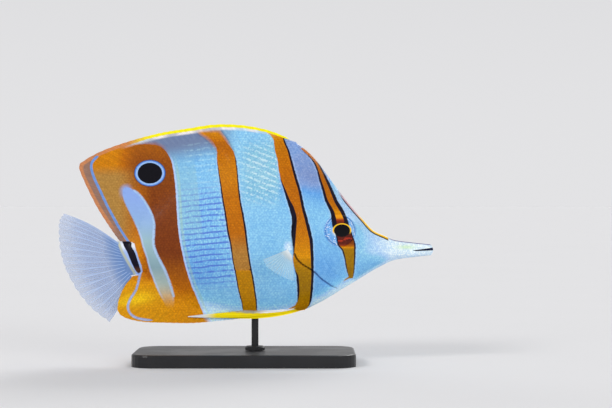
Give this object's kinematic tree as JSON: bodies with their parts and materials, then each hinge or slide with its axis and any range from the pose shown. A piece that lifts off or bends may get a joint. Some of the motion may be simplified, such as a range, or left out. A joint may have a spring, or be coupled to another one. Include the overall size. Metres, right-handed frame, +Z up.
{
  "type": "display fish model",
  "caption": "Life-size still model of a copper-banded butterflyfish with a long snout and ribbed fins, held level by one rod on a flat base.",
  "frame": {"origin": "bottom centre of the bounding box: on the underside of the stand's base, below the middle of the fish", "axes": "+X from tail to snout, +Y to the fish's left side, +Z up from the underside of the base"},
  "size_m": [0.1505, 0.0566, 0.0955],
  "materials": {
    "skin": "moist scaly skin, pale blue with copper bars",
    "fin": "thin ribbed fin, copper and yellow with a blue edge line",
    "clear_fin": "clear ribbed membrane with a blue-white tint",
    "eye": "wet, glossy",
    "stand": "satin black"
  },
  "bodies": {
    "root": {"head": "skin", "snout": "skin", "lower_jaw": "skin", "torso": "skin", "tail_stem": "skin", "gill_cover_left": "skin", "gill_cover_right": "skin", "eye_left": "eye", "eye_right": "eye", "dorsal_fin": "fin", "anal_fin": "fin", "pelvic_fin_left": "fin", "pelvic_fin_right": "fin", "caudal_fin": "clear_fin", "pectoral_fin_left": "clear_fin", "pectoral_fin_right": "clear_fin", "stand_base": "stand", "stand_rod": "stand"}
  },
  "joints": []
}
